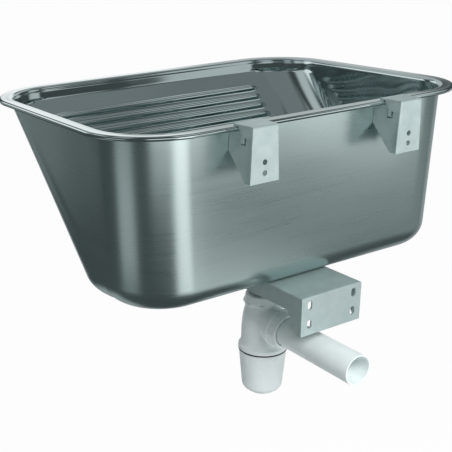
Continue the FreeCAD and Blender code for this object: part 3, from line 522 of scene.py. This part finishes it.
def branch_rows():
    """Loops along the branch. The cove: radius R + f(1 - sin t), reach = body's skin + f(1 - cos t), t to 90 deg.

    The first and the last loop lie under the body's skin, so that none of their edges shows outside."""
    angle = np.linspace(0, 2 * math.pi, 96, endpoint=False)
    across, rise = np.cos(angle), np.sin(angle)

    def loop(radius, out):
        return np.stack([radius * across, out + 0 * angle, radius * rise], -1)

    def on_body(radius, sink=0.0):
        return body_reach(radius * across, BRANCH_Z + radius * rise) - sink

    rows = [loop(BRANCH_R + COVE, on_body(BRANCH_R + COVE, 1.5 * MM))]
    for t in np.linspace(0, math.pi / 2, 9):
        radius = BRANCH_R + COVE * (1 - math.sin(t))
        rows.append(loop(radius, on_body(radius, 0.1 * MM) + COVE * (1 - math.cos(t))))
    rows += [loop(radius * MM, out * MM) for radius, out in TUBE]
    rows.append(loop(CHAMBER_HOLE, on_body(CHAMBER_HOLE, 4.0 * MM)))
    return np.stack(rows) + BRANCH


def without(mesh, cutter_points):
    """The mesh less a closed grid's volume, by an exact boolean."""
    body, tool = (bpy.data.objects.new("cut", m) for m in (mesh, merged(closed_grid("cutter", cutter_points))))
    for item in (body, tool):
        bpy.context.scene.collection.objects.link(item)
    cut = body.modifiers.new("cut", "BOOLEAN")
    cut.operation, cut.solver, cut.object = "DIFFERENCE", "EXACT", tool
    graph = bpy.context.evaluated_depsgraph_get()
    result = bpy.data.meshes.new_from_object(body.evaluated_get(graph))
    for item in (body, tool):
        bpy.data.objects.remove(item)
    return result


def joined(name, meshes):
    """One mesh from several closed shells."""
    work = bmesh.new()
    for mesh in meshes:
        work.from_mesh(mesh)
    whole = bpy.data.meshes.new(name)
    work.to_mesh(whole)
    work.free()
    return whole


# Wider than the socket of radius 19.7, so that the edge of the hole lies inside the wall of the branch.
hole = np.array([(0.01, 12.0), (20.6, 12.0), (20.6, 34.0), (0.01, 34.0)]) * MM
opened = without(body_mesh, turned(hole, BRANCH, "wall"))
trap_mesh = joined("trap_shell", [opened, closed_grid("branch", branch_rows())])
add_piece("trap_shell", trap_mesh, "trap", ["trap_body"], "white_plastic", white_plastic)
print("trap shell", len(opened.polygons), "faces after the hole")

# %% [markdown]
# ## Nuts and pipe
# Both nuts are turned by hand, so they carry lugs or ribs for the grip. A rib is a smooth bump of the
# radius that repeats round the nut: the profile stays one list, and the angle adds to it.

# %% Nuts
def lugs(count, width, proud, low, high, flank=0.12):
    """Bump of the radius, proud where cos(count * angle) is near 1, and only between two heights.

    The flank is how much of the cosine a lug takes to rise."""
    def swell(angle, height):
        wave = np.clip((np.cos(count * angle) - math.cos(count * width / 2)) / flank, 0, 1)
        return proud * wave * ((height > low) & (height < high))
    return swell


inlet_profile = eased([(23.5, -234.0), (26.5, -234.0), (26.5, -231.2), (26.4, -229.0), (24.8, -220.5), (23.4, -219.1),
                       (20.3, -219.1), (20.3, -220.9), (23.5, -220.9)], [0.4, 0.7, 0.5, 0.8, 0.9, 0.6, 0.4, 0.3, 0.3])
inlet_points = turned(inlet_profile, TRAP, "up", 192, lugs(8, 0.26, 1.15 * MM, -234.1 * MM, -229.6 * MM))
add_piece("inlet_nut_shell", closed_grid("inlet_nut_shell", inlet_points), "inlet_nut", ["inlet_nut"],
          "white_plastic", white_plastic)
outlet_profile = eased([(23.9, 34.0), (27.2, 34.0), (27.2, 38.0), (25.0, 39.2), (25.0, 48.6), (24.6, 50.2),
                        (24.6, 52.0), (20.3, 52.0), (20.3, 49.0), (23.9, 49.0)],
                       [0.5, 1.0, 1.0, 0.6, 0.6, 0.6, 0.7, 0.5, 0.4, 0.4])
outlet_points = turned(outlet_profile, BRANCH, "wall", 192, lugs(12, 0.16, 0.6 * MM, 39.4 * MM, 48.8 * MM))
add_piece("outlet_nut_shell", closed_grid("outlet_nut_shell", outlet_points), "outlet_nut", ["outlet_nut"],
          "white_plastic", white_plastic)

# %% Pipe
# Its inner end stays 0.7 mm clear of the stop in the socket when the pipe is pushed all the way in.
pipe_profile = eased([(18.1, 33.8), (19.4, 33.8), (19.4, 58.5), (20.0, 58.9), (20.0, 182.0), (18.1, 182.0)],
                     [0.4, 0.4, 0.3, 0.3, 0.6, 0.6])
add_piece("pipe_shell", closed_grid("pipe_shell", turned(pipe_profile, BRANCH, "wall")), "pipe", ["waste_pipe"],
          "white_plastic", white_plastic)

# %% [markdown]
# ## Folded brackets
# The brackets are cut and folded from stainless sheet, so the CAD solids already have their shape. A
# real cut edge is rubbed down, and that thin bright line is what the eye looks for. Each one becomes
# a merged copy with a narrow bevel on its sharp edges, and stays flat between them.

# %% Bracket material
def sheet_metal(name, light, dark, rough):
    """Matt sheet metal with a 2B finish: clouds of tone and gloss 17 mm wide, and a grain of about 1 mm.

    Metallic stays below 1, so that the matt sheet takes some of the lamps' plain light as well."""
    material, tree, shader = new_material(name, {"Metallic": 0.72, "Roughness": rough})
    place = add_node(tree, "ShaderNodeTexCoord")
    cloud = add_node(tree, "ShaderNodeTexNoise", values={"Scale": 60.0, "Detail": 4.0},
                     links={"Vector": place.outputs["Object"]})
    tone = ramp(tree, cloud.outputs["Fac"], [(0.3, dark), (0.7, light)])
    tree.links.new(tone.outputs["Color"], shader.inputs["Base Color"])
    gloss = spread(tree, cloud.outputs["Fac"], rough + 0.05, rough - 0.05)
    tree.links.new(gloss.outputs["Result"], shader.inputs["Roughness"])
    grain = add_node(tree, "ShaderNodeTexNoise", values={"Scale": 900.0, "Detail": 2.0},
                     links={"Vector": place.outputs["Object"]})
    relief(tree, shader, grain.outputs["Fac"], strength=0.05, depth=0.05 * MM)
    return material


bracket_steel = sheet_metal("matt_stainless_sheet", "D6E6E6", "CBDCDC", 0.46)

# %% Brackets with rubbed edges
RUBBED_EDGE, SHARP = 0.35 * MM, math.radians(30)


def merged_copy(node):
    """Copy of a CAD node's mesh in which points are merged and flat faces are joined."""
    mesh = merged(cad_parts[node].data.copy())
    mesh.name = node + "_eased"
    work = bmesh.new()
    work.from_mesh(mesh)
    bmesh.ops.dissolve_limit(work, angle_limit=math.radians(0.5), verts=work.verts, edges=work.edges)
    work.to_mesh(mesh)
    work.free()
    mesh.materials.clear()
    return mesh


for node in ("upper_bracket_left", "upper_bracket_right", "lower_bracket"):
    bracket = add_piece(node + "_eased", merged_copy(node), "sink", [node], "bracket_sheet", bracket_steel)
    bevel = bracket.modifiers.new("rubbed_edge", "BEVEL")
    bevel.width, bevel.segments, bevel.limit_method, bevel.angle_limit = RUBBED_EDGE, 2, "ANGLE", SHARP
    bracket.data.polygons.foreach_set("use_smooth", np.zeros(len(bracket.data.polygons), bool))

# %% [markdown]
# ## Strainer, waste and hidden rings
# These solids keep their CAD shape, because they are small, hidden or already plain turned parts.

# %% Finishes for the remaining nodes
brass = sheet_metal("turned_brass", "D8B765", "C9A552", 0.3)
bright_steel = stainless("bright_stainless_fittings", "CBD6D4", "BCC8C6", 0.12, 0.2, 1.0 * MM, 0.03)
# The waste body gets the plastic darkened to grey: painted shade for the bowl's shadow.
FINISH = {"strainer_plate": bright_steel, "strainer_screw": bright_steel, "screw_insert": brass,
          "strainer_gasket": black_rubber, "waste_gasket": black_rubber, "waste_body": shade_grey_plastic,
          "inlet_washer": black_rubber, "outlet_washer": black_rubber, "dip_tube": white_plastic,
          "dip_tube_seal": black_rubber}
for node, material in FINISH.items():
    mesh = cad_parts[node].data
    mesh.materials.clear()
    mesh.materials.append(material)
print("finished", len(FINISH), "CAD nodes")

# %% [markdown]
# ## Studio
# Steel shows its surroundings more than itself. A product photographer hangs a light tent round it:
# a white fabric ball, lit from behind by strip lights and soft boxes and dark where none shines. Only
# its reflection is seen. The camera and diffuse light pass through it, and the background stays white.

# %% Light boxes behind the fabric
# Heading of the middle, half width, height of the middle and half height in degrees, then brightness.
# The levels were weighed so that the bands on the bowl come out about as bright as in the photograph.
BOXES = {
    "fabric": (0, 400, 0, 200, 0.08),
    "overhead": (0, 400, 90, 26, 0.17),
    "wall_bank": (92, 46, 6, 9, 1.0),
    "wall_strip": (90, 13, -13, 18, 1.05),
    "wall_low": (112, 13, -28, 10, 0.6),
    "wall_far": (145, 22, -9, 13, 0.2),
    "wall_top": (98, 26, 55, 14, 0.5),
    "right_strip": (8, 13, -9, 11, 0.45),
    "right_edge": (-60, 9, 0, 12, 0.2),
    "right_bank": (-20, 14, 38, 10, 0.55),
    "right_far": (14, 12, 44, 16, 0.35),
    "front_bank": (-106, 15, 22, 10, 1.0),
    "front_left": (-138, 17, 36, 24, 0.5),
    "front_right": (-50, 15, 26, 12, 1.0),
    "front_top": (-88, 30, 56, 14, 0.5),
    "front_low": (-118, 38, -12, 20, 0.7),
    "front_foot": (-90, 60, -52, 15, 0.35),
    "left_bank": (148, 18, 32, 14, 0.55),
    "left_top": (180, 22, 52, 12, 0.15),
    "left_low": (-172, 16, -18, 24, 0.35),
}
TENT_CENTRE, TENT_R, TENT_SOFT = np.array([0, -0.22, -0.15]), 1.0, 9.0


def box_glow(heading, height, box):
    """1 behind the box and 0 away from it, with a smooth edge: 3e^2 - 2e^3 of the way in over TENT_SOFT degrees."""
    middle, half_wide, level_at, half_high, _ = box
    aside = np.abs((heading - middle + 180) % 360 - 180)
    inside = [np.clip((half - away) / TENT_SOFT + 0.5, 0, 1)
              for half, away in ((half_wide, aside), (half_high, np.abs(height - level_at)))]
    return np.prod([e * e * (3 - 2 * e) for e in inside], axis=0)


# %% Tent, with a point every 2.5 degrees
height, heading = np.meshgrid(np.linspace(-90, 90, 73), np.linspace(-180, 180, 145), indexing="ij")
a, e = np.radians(heading), np.radians(height)
tent_points = TENT_CENTRE + TENT_R * np.stack([np.cos(e) * np.cos(a), np.cos(e) * np.sin(a), np.sin(e)], -1)
tent_mesh = grid_mesh("light_tent", tent_points, False, False)
level = sum(box[-1] * box_glow(heading, height, box) for box in BOXES.values()).ravel()
# The dark fabric is a cool grey: red falls faster than green, and blue more slowly.
tint = np.stack([level ** 1.06, level, level ** 0.99, np.ones_like(level)], -1)
paint = tent_mesh.attributes.new("tent_light", "FLOAT_COLOR", "POINT")
paint.data.foreach_set("color", tint.ravel())
tent = bpy.data.objects.new("light_tent", tent_mesh)
bpy.context.scene.collection.objects.link(tent)
fabric, tree, _ = new_material("tent_fabric", {})
painted = add_node(tree, "ShaderNodeAttribute", {"attribute_name": "tent_light"})
glow = add_node(tree, "ShaderNodeEmission", links={"Color": painted.outputs["Color"]})
tree.links.new(glow.outputs["Emission"], tree.nodes["Material Output"].inputs["Surface"])
tent_mesh.materials.append(fabric)
tent.visible_camera = tent.visible_diffuse = tent.visible_shadow = tent.visible_transmission = False
print("tent levels", round(level.min(), 2), "to", round(level.max(), 2))

# %% World: white where it is seen, and a dim cool grey as a source of diffuse light
SEEN, DIFFUSE = (1, 1, 1, 1), (0.22, 0.24, 0.24, 1)
world = bpy.data.worlds.new("studio")
bpy.context.scene.world = world
world.use_nodes = True
tree = world.node_tree


def seen_directly(tree):
    """1 for rays from the camera, off a gloss or through glass, and 0 for diffuse light."""
    path = add_node(tree, "ShaderNodeLightPath")
    first = add_node(tree, "ShaderNodeMath", {"operation": "MAXIMUM"},
                     links={0: path.outputs["Is Camera Ray"], 1: path.outputs["Is Glossy Ray"]})
    return add_node(tree, "ShaderNodeMath", {"operation": "MAXIMUM"},
                    links={0: first.outputs["Value"], 1: path.outputs["Is Transmission Ray"]}).outputs["Value"]


shown = add_node(tree, "ShaderNodeMix", {"data_type": "RGBA"}, {"A": DIFFUSE, "B": SEEN},
                 {"Factor": seen_directly(tree)})
tree.links.new(shown.outputs["Result"], tree.nodes["Background"].inputs["Color"])

# %% Lamps
def soft_lamp(name, place, target, size, watts):
    """Round lamp of the given width that points at the target."""
    data = bpy.data.lights.new(name, "AREA")
    data.shape, data.size, data.energy = "DISK", size, watts
    lamp = bpy.data.objects.new(name, data)
    lamp.location = place
    lamp.rotation_euler = (Vector(target) - Vector(place)).to_track_quat("-Z", "Y").to_euler()
    lamp.visible_glossy = False                    # metal sees the tent instead
    bpy.context.scene.collection.objects.link(lamp)
    print(name, watts, "W")


soft_lamp("key_lamp", (0.3, 1.9, 1.5), (0, -0.1, -0.25), 1.0, 64)
soft_lamp("fill_lamp", (1.8, -0.8, 0.6), (0, -0.2, -0.2), 1.4, 4)
soft_lamp("low_lamp", (-1.2, 0.6, -0.7), (0, -0.1, -0.3), 1.0, 8)

# %% Floor: nearly all glow, so that it blends into the background and keeps only a soft shadow
FLOOR_Z, FLOOR_HALF, FLOOR_GLOW = -1.17, 60, 0.97
ends = (-FLOOR_HALF, FLOOR_HALF)
floor_points = np.array([[(x, y, FLOOR_Z) for x in ends] for y in ends], float)
floor_mesh = grid_mesh("floor", floor_points, False, False)
floor = bpy.data.objects.new("floor", floor_mesh)
bpy.context.scene.collection.objects.link(floor)
pale, tree, shader = new_material("pale_floor", {"Base Color": linear("F4F5F5"), "Roughness": 0.9})
white = add_node(tree, "ShaderNodeEmission", values={"Color": SEEN})
share = add_node(tree, "ShaderNodeMath", {"operation": "MULTIPLY"}, {1: FLOOR_GLOW}, {0: seen_directly(tree)})
blend = add_node(tree, "ShaderNodeMixShader", links={0: share.outputs["Value"], 1: shader.outputs["BSDF"],
                                                     2: white.outputs["Emission"]})
tree.links.new(blend.outputs["Shader"], tree.nodes["Material Output"].inputs["Surface"])
floor_mesh.materials.append(pale)
